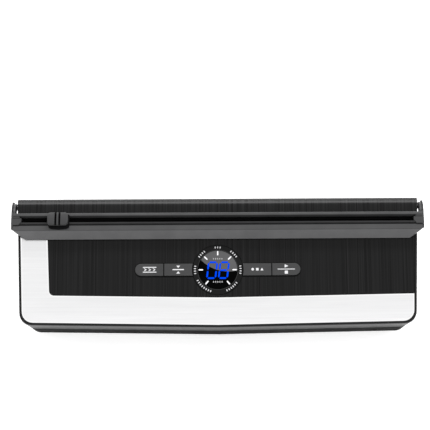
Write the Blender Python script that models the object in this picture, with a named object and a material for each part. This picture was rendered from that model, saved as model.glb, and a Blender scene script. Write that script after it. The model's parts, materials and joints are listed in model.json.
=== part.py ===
"""Countertop vacuum sealer with a hinged lid, a flip-up bag cutter and a diaphragm pump.

Frame: origin at the middle of the footprint on the surface it stands on, +X along the
width, +Y to the rear hinge, +Z up. Dimensions are in millimetres and become metres when
a mesh is made.
"""
import math

import bmesh
import bpy
from mathutils import Matrix, Vector

MM = 0.001

# Outline of the casing, seen from above
HALF_WIDTH_REAR = 191.3
HALF_WIDTH_FRONT = 186.4
FRONT_Y = -63.45
REAR_Y = 63.1
V_SLOPE = 0.016
FRONT_CORNER_R = 11.5
REAR_CORNER_R = 0.5
ARC_STEPS = 6
WALL = 2.4
GAP = 0.3

# Heights
FOOT_HEIGHT = 3.7
SHELL_BOTTOM_Z = 4.0
SHELL_TOP_Z = 32.0
DECK_TOP_Z = 42.0
LID_BOTTOM_Z = 42.5
LID_DATUM_Y = -63.5
LID_DATUM_Z = 58.0
LID_TILT = math.radians(6.5)
LID_CREST_R = 9.0
FLANGE_THICK = 2.6
SKIRT_INSET = 2.0
BASE_SETBACK = 0.5

# Lid hinge
HINGE_Y = 58.6
HINGE_Z = 42.0
HINGE_BARREL_R = 4.5
HINGE_X = 140.0
HINGE_EAR = 6.0

# Top plates of the lid, heights measured from the rim along the panel's normal
POCKET_DEPTH = 1.4
POCKET_INSET = 1.9
PLATE_TOP = -0.2
PLATE_THICK = 0.9
PLATE_INSET = 2.3
PLATE_END_Y = 30.2
STRIP_INNER_Y = -34.95
COLUMN_INNER_X = -160.6
COLUMN_SLANT = 0.042
PLATE_GROOVE = 0.6

# Display and keys
DISPLAY_Y = -8.85
BEZEL_R = 23.8
WINDOW_R = 18.9
KEY_Y = -8.6
KEY_HALF_HEIGHT = 5.85
KEY_INNER_X = 23.5
KEY_SPLIT_X = 51.1
KEY_HALF_GAP = 0.45
KEY_OUTER_X = 78.3
KEY_PROUD = 0.7

# Cutter bar
CUTTER_PIVOT_Y = 55.0
CUTTER_PIVOT_Z = 64.0
RAIL_HALF = 194.0
BAR_HALF = 195.6
SLOT_FRONT_Y = 34.4
SLOT_REAR_Y = 39.4
SLIDE_Y = 36.9
NECK_HALF = 182.6
RAIL_TOP_Z = 80.0
SLIDER_X = -151.2
SLIDER_HALF = 9.8
GRIP_GROOVE_X = 1.85

# Sealing band and vacuum chamber
HEATER_Y = -47.0
HEATER_HALF = 160.0
GASKET_HALF_X = 170.0
GASKET_FRONT_Y = -37.0
GASKET_REAR_Y = 14.0
GASKET_WIDTH = 6.0
TROUGH_HALF_X = 155.0
TROUGH_FRONT_Y = -28.0
TROUGH_REAR_Y = 5.0
TROUGH_FLOOR_Z = 33.3

# Lid latch and release buttons
LATCH_Y = -20.0
CATCH_Z = 24.0
CATCH_THICK = 3.0

# Pump
MOTOR_Y = 24.0
MOTOR_Z = 20.0
MOTOR_R = 12.0
ROTOR_R = 9.0
CRANK_THROW = 1.2

SCREW_X = 168.0
SCREW_YS = (-42.0, 44.0)
FOOT_X = 150.0
FOOT_YS = (-40.0, 40.0)

MATERIALS = {
    "black_plastic": ((0.016, 0.016, 0.017), 0.42, 0.0),
    "grey_plastic": ((0.065, 0.065, 0.068), 0.36, 0.0),
    "liner_plastic": ((0.030, 0.030, 0.032), 0.55, 0.0),
    "brushed_steel": ((0.80, 0.80, 0.79), 0.30, 1.0),
    "bright_steel": ((0.62, 0.62, 0.63), 0.25, 1.0),
    "panel_film": ((0.018, 0.018, 0.019), 0.30, 0.3),
    "display_glass": ((0.004, 0.004, 0.005), 0.05, 0.0),
    "rubber": ((0.020, 0.020, 0.020), 0.80, 0.0),
    "grey_foam": ((0.10, 0.10, 0.10), 0.90, 0.0),
    "silicone": ((0.32, 0.07, 0.05), 0.60, 0.0),
    "heater_alloy": ((0.55, 0.53, 0.50), 0.35, 1.0),
    "release_tape": ((0.36, 0.25, 0.15), 0.55, 0.0),
    "circuit_board": ((0.02, 0.16, 0.07), 0.45, 0.0),
    "coil_lacquer": ((0.40, 0.12, 0.04), 0.40, 0.6),
    "hose": ((0.55, 0.56, 0.56), 0.40, 0.0),
    "lead_sheath": ((0.02, 0.02, 0.02), 0.50, 0.0),
    "tray_plastic": ((0.22, 0.22, 0.23), 0.30, 0.0),
}


# ---------------------------------------------------------------- building blocks

def clear_scene():
    for old in list(bpy.data.objects):
        bpy.data.objects.remove(old, do_unlink=True)


def material(slot):
    found = bpy.data.materials.get(slot)
    if found:
        return found
    colour, roughness, metallic = MATERIALS[slot]
    made = bpy.data.materials.new(slot)
    made.use_nodes = True
    shader = made.node_tree.nodes["Principled BSDF"]
    shader.inputs["Base Color"].default_value = (*colour, 1.0)
    shader.inputs["Roughness"].default_value = roughness
    shader.inputs["Metallic"].default_value = metallic
    return made


def loft(name, rings, slot="black_plastic"):
    """A closed solid through rings of equal point counts, capped at both ends."""
    bm = bmesh.new()
    rows = [[bm.verts.new(Vector(p) * MM) for p in ring] for ring in rings]
    count = len(rings[0])
    for low, high in zip(rows, rows[1:]):
        for i in range(count):
            j = (i + 1) % count
            bm.faces.new((low[i], low[j], high[j], high[i]))
    bm.faces.new(list(reversed(rows[0])))
    bm.faces.new(rows[-1])
    bmesh.ops.recalc_face_normals(bm, faces=bm.faces)
    mesh = bpy.data.meshes.new(name)
    bm.to_mesh(mesh)
    bm.free()
    obj = bpy.data.objects.new(name, mesh)
    bpy.context.scene.collection.objects.link(obj)
    mesh.materials.append(material(slot))
    return obj


def prism_z(name, outline, z0, z1, slot="black_plastic"):
    return loft(name, [[(x, y, z) for x, y in outline] for z in (z0, z1)], slot)


def prism_x(name, profile, x0, x1, slot="black_plastic"):
    return loft(name, [[(x, y, z) for y, z in profile] for x in (x0, x1)], slot)


def prism_y(name, profile, y0, y1, slot="black_plastic"):
    return loft(name, [[(x, y, z) for x, z in profile] for y in (y0, y1)], slot)


def box(name, low, high, slot="black_plastic"):
    outline = rectangle(low[0], high[0], low[1], high[1])
    return prism_z(name, outline, low[2], high[2], slot)


def rectangle(a0, a1, b0, b1):
    return [(a0, b0), (a1, b0), (a1, b1), (a0, b1)]


def arc(ca, cb, r, start, end, steps=ARC_STEPS):
    """Points on an arc; angles in degrees, anticlockwise from the first axis."""
    turns = [math.radians(start + (end - start) * i / steps) for i in range(steps + 1)]
    return [(ca + r * math.cos(t), cb + r * math.sin(t)) for t in turns]


def circle(ca, cb, r, steps=24):
    return arc(ca, cb, r, 0.0, 360.0, steps)[:-1]


def round_rectangle(a0, a1, b0, b1, r, steps=4):
    corners = ((a1 - r, b1 - r, 0), (a0 + r, b1 - r, 90), (a0 + r, b0 + r, 180), (a1 - r, b0 + r, 270))
    return [p for a, b, start in corners for p in arc(a, b, r, start, start + 90, steps)]


def boolean(target, tool, operation):
    """Applies one Boolean to the target and removes the tool."""
    bpy.context.view_layer.update()
    step = target.modifiers.new("step", "BOOLEAN")
    step.operation = operation
    step.solver = "EXACT"
    step.object = tool
    bpy.context.view_layer.update()
    evaluated = target.evaluated_get(bpy.context.evaluated_depsgraph_get())
    result = bpy.data.meshes.new_from_object(evaluated)
    result.name = target.name
    target.modifiers.remove(step)
    old = target.data
    target.data = result
    bpy.data.meshes.remove(old)
    bpy.data.objects.remove(tool, do_unlink=True)
    return target


def cut(target, *tools):
    for tool in tools:
        boolean(target, tool, "DIFFERENCE")
    return target


def join(target, *tools):
    for tool in tools:
        boolean(target, tool, "UNION")
    return target


def keep_common(target, tool):
    return boolean(target, tool, "INTERSECT")


def tidy(obj, smooth_angle=30.0):
    """Merges doubled points, drops slivers and shades round faces smooth."""
    bm = bmesh.new()
    bm.from_mesh(obj.data)
    bmesh.ops.remove_doubles(bm, verts=bm.verts, dist=0.00001)
    bmesh.ops.dissolve_degenerate(bm, edges=bm.edges, dist=0.00001)
    bm.to_mesh(obj.data)
    bm.free()
    obj.data.shade_smooth()
    obj.data.set_sharp_from_angle(angle=math.radians(smooth_angle))
    return obj


def hang(pivot_name, point, *pieces):
    """Parents pieces to an empty that stands on their joint's axis."""
    empty = bpy.data.objects.new(pivot_name, None)
    empty.empty_display_size = 0.01
    empty.location = Vector(point) * MM
    bpy.context.scene.collection.objects.link(empty)
    for piece in pieces:
        piece.parent = empty
        piece.matrix_parent_inverse = Matrix.Translation(empty.location).inverted()
    return empty


def tube(name, points, radius, slot):
    """A bent round tube along a smooth curve through a few hand-chosen points."""
    data = bpy.data.curves.new(name, "CURVE")
    data.dimensions = "3D"
    data.bevel_depth = radius * MM
    data.bevel_resolution = 2
    data.use_fill_caps = True
    path = smooth_path(points)
    spline = data.splines.new("POLY")
    spline.points.add(len(path) - 1)
    for place, point in zip(spline.points, path):
        place.co = (*(point * MM), 1.0)
    obj = bpy.data.objects.new(name, data)
    bpy.context.scene.collection.objects.link(obj)
    data.materials.append(material(slot))
    return obj


def smooth_path(points, steps=6):
    """Catmull-Rom curve through the points."""
    knots = [Vector(p) for p in points]
    padded = [knots[0] * 2 - knots[1]] + knots + [knots[-1] * 2 - knots[-2]]
    path = []
    for a, b, c, d in zip(padded, padded[1:], padded[2:], padded[3:]):
        for i in range(steps):
            t = i / steps
            path.append(0.5 * (2 * b + (c - a) * t + (2 * a - 5 * b + 4 * c - d) * t ** 2
                               + (3 * b - a - 3 * c + d) * t ** 3))
    return path + [knots[-1]]


# ---------------------------------------------------------------- shared outlines

def front_y(x):
    """The front edge is a very shallow V."""
    return FRONT_Y + V_SLOPE * abs(x)


def side_x(y):
    """Half width of the casing at a depth: the sides draw in to the front."""
    share = min((y - FRONT_Y) / (REAR_Y - FRONT_Y), 1.0)
    return HALF_WIDTH_FRONT + (HALF_WIDTH_REAR - HALF_WIDTH_FRONT) * share


def casing_outline(inset, rear_y=REAR_Y, setback=0.0):
    """Outline of the casing seen from above, drawn in by an inset and further still in front."""
    r_front = max(FRONT_CORNER_R - 0.4 * inset, 4.0)
    corner_y = front_y(HALF_WIDTH_FRONT - inset) + setback + inset + r_front
    rear_corner_y = rear_y - inset - REAR_CORNER_R
    right = [(0.0, FRONT_Y + setback + inset)]
    right += arc(side_x(corner_y) - inset - r_front, corner_y, r_front, -90, 0)
    right += arc(side_x(rear_corner_y) - inset - REAR_CORNER_R, rear_corner_y, REAR_CORNER_R, 0, 90, 3)
    left = [(-x, y) for x, y in reversed(right[1:])]
    return right + left


def base_outline(inset):
    """The base stands back a little further than the lid in front."""
    return casing_outline(inset, setback=BASE_SETBACK)


def base_ring(inset, z):
    return [(x, y, z) for x, y in base_outline(inset)]


def base_inset(z):
    """The base draws in towards its foot."""
    return 2.2 + (DECK_TOP_Z - z) * 0.12


def panel_z(y):
    """Height of the lid's sloping top."""
    return LID_DATUM_Z + (y - LID_DATUM_Y) * math.tan(LID_TILT)


def panel_s(y):
    """Distance up the sloping top from its front datum."""
    return (y - LID_DATUM_Y) / math.cos(LID_TILT)


def to_panel(outline):
    return [(x, panel_s(y)) for x, y in outline]


def on_panel(obj):
    """Lays a piece drawn flat onto the lid's sloping top."""
    obj.location = (0.0, LID_DATUM_Y * MM, LID_DATUM_Z * MM)
    obj.rotation_euler = (LID_TILT, 0.0, 0.0)
    return obj


# ---------------------------------------------------------------- base

def bottom_shell():
    outer = [base_ring(11.5, SHELL_BOTTOM_Z), base_ring(8.6, 5.2), base_ring(6.4, 8.0)]
    outer += [base_ring(base_inset(z), z) for z in (12.0, SHELL_TOP_Z)]
    inner = [base_ring(base_inset(SHELL_TOP_Z) + WALL, SHELL_TOP_Z)]
    inner += [base_ring(base_inset(12.0) + WALL, 12.0), base_ring(12.0, 6.4)]
    shell = loft("bottom_shell", outer + inner)
    for side in (-1, 1):
        x = side * SCREW_X
        for y in SCREW_YS:
            join(shell, prism_z("boss", circle(x, y, 5.4, 16), 5.0, SHELL_TOP_Z - 0.1))
            cut(shell, prism_z("well", circle(x, y, 3.7, 16), 3.0, 7.2),
                prism_z("hole", circle(x, y, 1.9, 12), 3.0, 40.0))
        stop = sorted((side * 157.5, side * 160.0))
        guide = sorted((side * 168.6, side * 177.0))
        join(shell, box("stop", (stop[0], LATCH_Y - 7, 5.5), (stop[1], LATCH_Y + 7, 28.0)),
             box("guide", (guide[0], LATCH_Y - 4, 5.5), (guide[1], LATCH_Y + 4, CATCH_Z - 0.4)))
        hole = sorted((side * 178.0, side * 192.0))
        profile = round_rectangle(LATCH_Y - 12.3, LATCH_Y + 12.3, 19.7, 29.3, 2.6, 3)
        cut(shell, prism_x("button_hole", profile, hole[0], hole[1]))
    for x in (-92.0, 8.0):
        for y in (17.0, 43.0):
            join(shell, prism_z("post", circle(x, y, 3.0, 12), 5.5, 11.7))
    cut(shell, box("inlet_hole", (139.4, 50.0, 11.4), (160.6, 70.0, 24.6)))
    cut(shell, prism_x("port_hole", circle(25.0, 20.0, 5.4, 16), 178.0, 195.0))
    for i in range(9):
        x = 30.0 + 7.0 * i
        cut(shell, box("vent", (x - 1.25, 50.0, 12.0), (x + 1.25, 70.0, 27.0)))
    return tidy(shell)


def feet():
    places = {"left": -FOOT_X, "right": FOOT_X}
    depths = {"front": FOOT_YS[0], "rear": FOOT_YS[1]}
    for end, y in depths.items():
        for side, x in places.items():
            rings = [[(a, b, z) for a, b in circle(x, y, r, 20)]
                     for r, z in ((7.2, 0.0), (8.0, 0.8), (8.0, FOOT_HEIGHT))]
            tidy(loft(f"foot_{end}_{side}", rings, "rubber"))


def housing_screws():
    number = 0
    for y in SCREW_YS:
        for side in (-1, 1):
            number += 1
            x = side * SCREW_X
            rings = [[(a, b, z) for a, b in circle(x, y, r, 12)]
                     for r, z in ((2.6, 4.6), (3.3, 5.2), (3.3, 6.7), (1.5, 6.8), (1.5, 37.0), (0.7, 38.0))]
            screw = loft(f"housing_screw_{number}", rings, "bright_steel")
            for a, b in ((2.0, 0.45), (0.45, 2.0)):
                cut(screw, box("cross", (x - a, y - b, 4.0), (x + a, y + b, 5.7)))
            tidy(screw)


def base_deck():
    outer = [base_ring(base_inset(z), z) for z in (SHELL_TOP_Z + GAP, DECK_TOP_Z - 0.8)]
    outer += [base_ring(base_inset(DECK_TOP_Z) + 0.6, DECK_TOP_Z)]
    deck = loft("base_deck", outer)
    under = base_outline(base_inset(SHELL_TOP_Z) + WALL)
    cut(deck, prism_z("under", under, 30.0, DECK_TOP_Z - WALL))
    band = base_outline(base_inset(SHELL_TOP_Z) + 1.0)
    gutter_block = keep_common(box("gutter_block", (-200, 51.0, SHELL_TOP_Z + GAP), (200, 70, 40)),
                               prism_z("band", band, 20.0, 60.0))
    join(deck, gutter_block)
    wall = 1.8
    join(deck, box("trough", (-TROUGH_HALF_X - wall, TROUGH_FRONT_Y - wall, TROUGH_FLOOR_Z - wall),
                   (TROUGH_HALF_X + wall, TROUGH_REAR_Y + wall, 40.5)))
    ring = round_rectangle(-GASKET_HALF_X - 1.6, GASKET_HALF_X + 1.6, GASKET_FRONT_Y - 1.6,
                           GASKET_REAR_Y + 1.6, 12.0)
    join(deck, prism_z("gasket_seat", ring, 37.2, 40.5))
    join(deck, box("heater_seat", (-HEATER_HALF - 4, HEATER_Y - 8, 36.4),
                   (HEATER_HALF + 4, HEATER_Y + 8, 40.5)))
    for side in (-1, 1):
        for y in SCREW_YS:
            join(deck, prism_z("boss", circle(side * SCREW_X, y, 4.2, 14), SHELL_TOP_Z + 0.2, 40.5))
            cut(deck, prism_z("pilot", circle(side * SCREW_X, y, 1.9, 12), 30.0, 38.4))
    cut(deck, box("trough_hollow", (-TROUGH_HALF_X, TROUGH_FRONT_Y, TROUGH_FLOOR_Z),
                  (TROUGH_HALF_X, TROUGH_REAR_Y, 50.0)))
    cut(deck, gasket_groove(0.3, 38.8, 50.0))
    cut(deck, box("heater_groove", (-HEATER_HALF - 0.4, HEATER_Y - 6.4, 38.0),
                  (HEATER_HALF + 0.4, HEATER_Y + 6.4, 50.0)))
    cut(deck, prism_x("gutter", circle(HINGE_Y, HINGE_Z, HINGE_BARREL_R + 0.7, 32), -200.0, 200.0))
    for side in (-1, 1):
        ear = prism_x("ear", circle(HINGE_Y, HINGE_Z, HINGE_BARREL_R - 0.2, 24),
                      side * HINGE_X - HINGE_EAR / 2, side * HINGE_X + HINGE_EAR / 2)
        foot = box("ear_foot", (side * HINGE_X - HINGE_EAR / 2, HINGE_Y - 2.6, 35.0),
                   (side * HINGE_X + HINGE_EAR / 2, HINGE_Y + 2.0, HINGE_Z))
        join(deck, ear, foot)
        cut(deck, prism_x("pin_hole", circle(HINGE_Y, HINGE_Z, 1.8, 16), side * HINGE_X - 5,
                          side * HINGE_X + 5))
        slot = sorted((side * 172.2, side * 181.0))
        cut(deck, box("latch_slot", (slot[0], LATCH_Y - 8.5, 30.0), (slot[1], LATCH_Y + 5.5, 50.0)))
    nipple = prism_y("nipple", circle(120.0, 34.2, 2.4, 12), TROUGH_REAR_Y + 1.0, TROUGH_REAR_Y + 9.0)
    join(deck, nipple)
    cut(deck, prism_y("bore", circle(120.0, 34.2, 1.3, 10), TROUGH_REAR_Y - 2.0, TROUGH_REAR_Y + 12.0))
    cut(deck, prism_z("switch_hole", circle(174.0, 30.0, 2.4, 14), 30.0, 50.0))
    return tidy(deck)


def gasket_groove(spread, z0, z1):
    """Ring-shaped cutter or seal that follows the vacuum chamber's edge."""
    outer = round_rectangle(-GASKET_HALF_X - spread, GASKET_HALF_X + spread, GASKET_FRONT_Y - spread,
                            GASKET_REAR_Y + spread, 11.0, 5)
    step = GASKET_WIDTH
    inner = round_rectangle(-GASKET_HALF_X + step + spread, GASKET_HALF_X - step - spread,
                            GASKET_FRONT_Y + step + spread, GASKET_REAR_Y - step - spread, 6.0, 5)
    ring = prism_z("ring", outer, z0, z1)
    return cut(ring, prism_z("core", inner, z0 - 1.0, z1 + 1.0))


def gasket(name, z0, z1):
    ring = gasket_groove(-0.05, z0, z1)
    ring.name = name
    ring.data.materials.clear()
    ring.data.materials.append(material("grey_foam"))
    return tidy(ring)


def sealing_band():
    tidy(box("heater_bed", (-HEATER_HALF, HEATER_Y - 6.0, 38.4), (HEATER_HALF, HEATER_Y + 6.0, 41.1),
             "liner_plastic"))
    tidy(box("heater_strip", (-HEATER_HALF + 4, HEATER_Y - 1.5, 41.4), (HEATER_HALF - 4, HEATER_Y + 1.5, 41.6),
             "heater_alloy"))
    tidy(box("release_tape", (-HEATER_HALF, HEATER_Y - 6.0, 41.9), (HEATER_HALF, HEATER_Y + 6.0, 42.05),
             "release_tape"))


def drip_tray():
    outline = round_rectangle(-154.2, 154.2, TROUGH_FRONT_Y + 0.7, TROUGH_REAR_Y - 0.7, 4.0)
    inside = round_rectangle(-152.9, 152.9, TROUGH_FRONT_Y + 2.0, TROUGH_REAR_Y - 2.0, 3.0)
    tray = prism_z("drip_tray", outline, TROUGH_FLOOR_Z + 0.4, 41.2, "tray_plastic")
    cut(tray, prism_z("hollow", inside, TROUGH_FLOOR_Z + 1.7, 50.0))
    cut(tray, box("finger_notch", (-9.0, -40.0, 39.4), (9.0, -20.0, 50.0)))
    return tidy(tray)


def hinge_pins():
    for name, side in (("left", -1), ("right", 1)):
        tidy(prism_x(f"hinge_pin_{name}", circle(HINGE_Y, HINGE_Z, 1.5, 20), side * HINGE_X - 8,
                     side * HINGE_X + 8, "bright_steel"))


def pump():
    can = prism_x("pump_motor", circle(MOTOR_Y, MOTOR_Z, MOTOR_R, 28), 28.0, 60.0, "bright_steel")
    join(can, prism_x("end_boss", circle(MOTOR_Y, MOTOR_Z, 4.0, 20), 25.5, 28.5))
    cut(can, prism_x("bearing", circle(MOTOR_Y, MOTOR_Z, 1.6, 20), 27.0, 61.0),
        prism_x("rotor_space", circle(MOTOR_Y, MOTOR_Z, ROTOR_R + 0.8, 24), 30.5, 57.5))
    tidy(can)
    frame = box("pump_frame", (60.4, 9.0, 8.0), (62.6, 51.0, 34.0), "liner_plastic")
    join(frame, box("frame_foot", (60.4, 9.0, 6.8), (86.0, 12.0, 8.6)),
         box("frame_shelf", (61.0, 40.0, 6.8), (88.0, 51.0, 8.6)))
    cut(frame, prism_x("clearance", circle(MOTOR_Y, MOTOR_Z, 3.2, 20), 59.0, 64.0))
    tidy(frame)
    head = box("pump_head", (63.0, 41.6, 9.0), (88.0, 50.5, 33.0), "black_plastic")
    join(head, prism_x("nipple", circle(46.0, 27.0, 2.6, 12), 87.0, 93.0))
    cut(head, prism_y("chamber", circle(69.0, 21.2, 5.0, 20), 41.0, 45.0),
        prism_x("bore", circle(46.0, 27.0, 1.4, 10), 74.0, 95.0),
        prism_y("port", circle(76.0, 27.0, 1.2, 10), 41.0, 47.0))
    tidy(head)
    shaft = prism_x("motor_shaft", circle(MOTOR_Y, MOTOR_Z, 1.5, 20), 27.6, 76.0, "bright_steel")
    crank_z = MOTOR_Z + CRANK_THROW
    join(shaft, prism_x("eccentric", circle(MOTOR_Y, crank_z, 4.0, 24), 66.0, 72.0),
         prism_x("rotor", circle(MOTOR_Y, MOTOR_Z, ROTOR_R, 24), 33.0, 55.0))
    tidy(shaft)
    hang("motor_axis", (60.0, MOTOR_Y, MOTOR_Z), shaft)
    rod = prism_x("pump_rod", circle(MOTOR_Y, crank_z, 7.2, 24), 66.3, 71.7, "grey_plastic")
    join(rod, box("arm", (67.0, MOTOR_Y + 5.0, crank_z - 2.0), (71.0, 37.0, crank_z + 2.0)),
         prism_y("diaphragm", circle(69.0, crank_z, 5.8, 20), 36.4, 38.6))
    cut(rod, prism_x("eye", circle(MOTOR_Y, crank_z, 4.1, 24), 60.0, 80.0))
    tidy(rod)
    hang("crank_axis", (69.0, MOTOR_Y, crank_z), rod)


def valve():
    body = box("valve_body", (106.0, 26.0, 7.0), (126.0, 42.0, 23.0), "coil_lacquer")
    join(body, box("valve_foot", (102.0, 28.0, 6.8), (130.0, 40.0, 8.6)))
    cut(body, prism_z("bore", circle(116.0, 34.0, 2.6, 20), 12.0, 30.0))
    tidy(body)
    rings = [[(x, y, z) for x, y in circle(116.0, 34.0, r, 20)]
             for r, z in ((2.5, 14.5), (2.5, 26.0), (4.2, 26.2), (4.2, 28.4), (3.4, 29.0))]
    plunger = tidy(loft("valve_plunger", rings, "bright_steel"))
    hang("valve_axis", (116.0, 34.0, 14.5), plunger)


def electrics():
    core = box("transformer", (-150.0, 20.0, 8.0), (-110.0, 40.0, 34.0), "bright_steel")
    join(core, box("bobbin", (-142.0, 14.0, 12.5), (-118.0, 46.0, 29.5)))
    tidy(core)
    board = box("main_board", (-97.0, 12.0, 12.0), (13.0, 48.0, 13.6), "circuit_board")
    join(board, box("relay", (-90.0, 20.0, 13.0), (-74.0, 32.0, 26.0)),
         prism_z("capacitor", circle(-60.0, 30.0, 6.0, 16), 13.0, 30.0),
         box("heatsink", (-46.0, 18.0, 13.0), (-42.0, 42.0, 30.0)),
         box("controller", (-30.0, 24.0, 13.0), (-18.0, 36.0, 15.6)),
         box("connector", (-8.0, 16.0, 13.0), (4.0, 22.0, 20.0)))
    tidy(board)
    inlet = box("power_inlet", (141.0, 44.0, 12.0), (159.0, 57.0, 24.0))
    join(inlet, box("flange", (139.0, 59.3, 11.0), (161.0, 60.5, 25.0)),
         box("neck", (140.0, 55.0, 12.0), (160.0, 59.7, 24.0)))
    lobes = round_rectangle(142.5, 157.5, 14.2, 21.8, 3.7, 4)
    cut(inlet, prism_y("socket", lobes, 47.0, 70.0))
    for x in (145.7, 154.3):
        join(inlet, prism_y("contact", circle(x, 18.0, 1.1, 10), 46.0, 57.0))
    tidy(inlet)
    switch = box("lid_switch", (169.0, 24.0, 28.0), (179.0, 36.0, 36.0), "liner_plastic")
    join(switch, prism_z("stem", circle(174.0, 30.0, 1.9, 12), 35.0, 41.4))
    tidy(switch)
    tidy(port_socket())


def port_socket():
    port = prism_x("accessory_port", circle(25.0, 20.0, 5.0, 20), 172.0, 186.4, "grey_plastic")
    return cut(port, prism_x("bore", circle(25.0, 20.0, 3.4, 16), 175.0, 190.0))


def hoses():
    tube("vacuum_hose", [(93.3, 46.0, 27.0), (99.0, 46.0, 27.0), (108.0, 46.5, 30.5), (118.0, 41.0, 33.6),
                         (120.0, 28.0, 34.2), (120.0, TROUGH_REAR_Y + 9.3, 34.2)], 2.6, "hose")
    tube("mains_lead", [(150.0, 43.7, 18.0), (150.0, 41.5, 18.6), (148.5, 41.0, 24.0), (144.0, 43.5, 32.0),
                        (134.0, 46.0, 36.1), (100.0, 46.5, 36.3), (20.0, 46.5, 36.3), (-80.0, 46.0, 36.3),
                        (-98.0, 44.5, 34.0), (-103.5, 38.0, 28.0), (-104.5, 31.5, 24.0),
                        (-107.3, 30.0, 23.0)], 2.0, "lead_sheath")


def release_button(name, side):
    """Side button with a catch frame that reaches round the lid's hook."""
    def across(a, b):
        return sorted((side * a, side * b))
    x0, x1 = across(179.0, 185.6)
    cap_profile = round_rectangle(LATCH_Y - 12.0, LATCH_Y + 12.0, 20.0, 29.0, 2.4, 3)
    button = prism_x(f"release_button_{name}", cap_profile, x0, x1, "grey_plastic")
    x0, x1 = across(178.6, 179.8)
    join(button, prism_x("flange", round_rectangle(LATCH_Y - 13.6, LATCH_Y + 13.6, 18.6, 30.4, 2.6, 3), x0, x1))
    x0, x1 = across(168.0, 179.2)
    join(button, box("catch", (x0, LATCH_Y - 7.0, CATCH_Z), (x1, LATCH_Y + 7.0, CATCH_Z + CATCH_THICK)))
    x0, x1 = across(175.2, 182.4)
    cut(button, box("window", (x0, LATCH_Y - 5.2, 15.0), (x1, LATCH_Y + 5.2, 32.0)))
    tidy(button)
    hang(f"release_axis_{name}", (side * 185.6, LATCH_Y, 24.5), button)


def release_spring(name, side):
    """Return spring between the catch frame and the shell's stop."""
    turns = 5
    steps = 12 * turns
    start = side * 160.7
    length = side * 6.6
    data = bpy.data.curves.new(f"release_spring_{name}", "CURVE")
    data.dimensions = "3D"
    data.bevel_depth = 0.35 * MM
    data.bevel_resolution = 1
    data.use_fill_caps = True
    spline = data.splines.new("POLY")
    spline.points.add(steps)
    for i, place in enumerate(spline.points):
        turn = 2 * math.pi * i / 12
        point = Vector((start + length * i / steps, LATCH_Y + 2.6 * math.cos(turn),
                        CATCH_Z + 1.5 + 2.6 * math.sin(turn)))
        place.co = (*(point * MM), 1.0)
    spring = bpy.data.objects.new(f"release_spring_{name}", data)
    bpy.context.scene.collection.objects.link(spring)
    data.materials.append(material("bright_steel"))


# ---------------------------------------------------------------- lid

def lid_profile(drop, front, rear, crest_r, floor_z):
    """Side view of the lid: sloping top, rounded rear crest, vertical rear wall."""
    crest_y = rear - crest_r
    crest_z = panel_z(crest_y) - drop - crest_r
    profile = [(front, floor_z), (front, panel_z(front) - drop)]
    profile += list(reversed(arc(crest_y, crest_z, crest_r, 0, 90 + math.degrees(LID_TILT), 7)))
    return profile


def lid_shell():
    shell = prism_z("lid_shell", casing_outline(SKIRT_INSET, REAR_Y + SKIRT_INSET), LID_BOTTOM_Z, 90.0)
    flange = prism_z("flange", casing_outline(0.0), LID_BOTTOM_Z, 90.0)
    crest_s = panel_s(REAR_Y - LID_CREST_R)
    cut(flange, on_panel(box("under_flange", (-220.0, -20.0, -60.0), (220.0, crest_s, -FLANGE_THICK))))
    join(shell, flange)
    side_view = lid_profile(0.0, -80.0, REAR_Y, LID_CREST_R, 30.0) + [(REAR_Y, 30.0)]
    keep_common(shell, prism_x("side_view", side_view, -220.0, 220.0))
    join(shell, prism_x("barrel", circle(HINGE_Y, HINGE_Z, HINGE_BARREL_R, 32), -186.0, 186.0))
    inset = SKIRT_INSET + WALL
    hollow = prism_z("hollow", casing_outline(inset, REAR_Y + SKIRT_INSET), 30.0, 90.0)
    inner = lid_profile(POCKET_DEPTH + 2.0, -80.0, REAR_Y - WALL, LID_CREST_R - WALL, 30.0)
    inner += [(REAR_Y - WALL, 48.4), (HINGE_Y - 5.4, 48.4), (HINGE_Y - 5.4, 30.0)]
    keep_common(hollow, prism_x("inner_view", inner, -220.0, 220.0))
    cut(shell, hollow)
    end_y = PLATE_END_Y + 0.4
    half = side_x(end_y) - POCKET_INSET
    pocket = front_right(POCKET_INSET) + [(half, end_y), (-half, end_y)] + front_left(POCKET_INSET)
    cut(shell, on_panel(prism_z("pocket", to_panel(pocket), -POCKET_DEPTH, 5.0)))
    cut(shell, on_panel(prism_z("window_hole", circle(0.0, panel_s(DISPLAY_Y), 17.0, 28), -10.0, 5.0)))
    for side in (-1, 1):
        cut(shell, on_panel(prism_z("key_hole", key_slot(side, 0.4), -10.0, 5.0)))
        cut(shell, prism_x("pivot_hole", circle(CUTTER_PIVOT_Y, CUTTER_PIVOT_Z, 2.3, 20),
                           side * 190 - 6, side * 190 + 6))
        ear_gap = HINGE_EAR / 2 + 0.4
        cut(shell, prism_x("ear_gap", circle(HINGE_Y, HINGE_Z, HINGE_BARREL_R + 0.5, 32),
                           side * HINGE_X - ear_gap, side * HINGE_X + ear_gap))
        cut(shell, prism_x("pin_bore", circle(HINGE_Y, HINGE_Z, 1.6, 20), side * HINGE_X - 8.3,
                           side * HINGE_X + 8.3))
    cut(shell, box("blade_groove", (-NECK_HALF, SLIDE_Y - 1.1, 66.6), (NECK_HALF, SLIDE_Y + 1.1, 75.0)))
    return tidy(shell)


def key_slot(side, spread):
    """Pill-shaped opening for a pair of keys; the outer end is round."""
    centre = panel_s(KEY_Y)
    r = KEY_HALF_HEIGHT + spread
    outer = KEY_OUTER_X - KEY_HALF_HEIGHT
    points = [(KEY_INNER_X - spread, centre - r)] + arc(outer, centre, r, -90, 90, 12)
    points += [(KEY_INNER_X - spread, centre + r)]
    return [(side * x, s) for x, s in points]


def front_right(inset):
    """The casing outline's front edge and right front corner, from the middle outwards."""
    return [p for p in casing_outline(inset) if p[1] < 0.0 and p[0] >= 0.0]


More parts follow.
